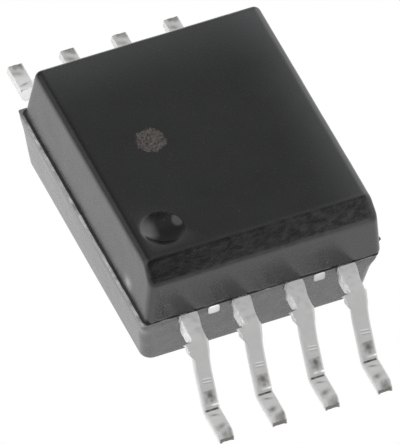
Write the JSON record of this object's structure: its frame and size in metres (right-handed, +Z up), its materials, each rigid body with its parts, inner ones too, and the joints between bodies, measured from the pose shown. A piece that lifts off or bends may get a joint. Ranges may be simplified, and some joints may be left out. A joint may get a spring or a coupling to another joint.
{
  "type": "surface-mount optocoupler chip",
  "caption": "Black moulded surface-mount chip with long gull-wing leads in two rows, a pin-one dish, and an optically coupled pair of circuits inside.",
  "frame": {"origin": "middle of the lead pattern on the plane that the feet stand on", "axes": "+Z up, X along the rows of leads from pin 1 to pin 4, +Y from the input row (pins 1 to 4) to the output row (pins 5 to 8)"},
  "size_m": [0.0057, 0.0116, 0.0032],
  "materials": {
    "moulding_compound": "satin",
    "tinned_lead": "matte",
    "silicon": "gloss",
    "emitter": "gloss",
    "die_bond": "matte",
    "clear_silicone": "gloss",
    "gold_wire": "polished"
  },
  "bodies": {
    "root": {"package_body": "moulding_compound", "lead_1": "tinned_lead", "lead_2": "tinned_lead", "lead_3": "tinned_lead", "lead_4_with_input_paddle": "tinned_lead", "lead_5_with_output_paddle": "tinned_lead", "lead_6": "tinned_lead", "lead_7": "tinned_lead", "lead_8": "tinned_lead", "input_circuit_die": "silicon", "output_circuit_die": "silicon", "light_emitter_die": "emitter", "input_circuit_bond": "die_bond", "output_circuit_bond": "die_bond", "light_emitter_bond": "die_bond", "light_guide": "clear_silicone", "wire_to_lead_1": "gold_wire", "wire_to_lead_2": "gold_wire", "wire_to_lead_3": "gold_wire", "wire_to_lead_6": "gold_wire", "wire_to_lead_7": "gold_wire", "wire_to_lead_8": "gold_wire", "wire_to_input_paddle": "gold_wire", "wire_to_output_paddle": "gold_wire", "wire_to_emitter": "gold_wire"}
  },
  "joints": []
}
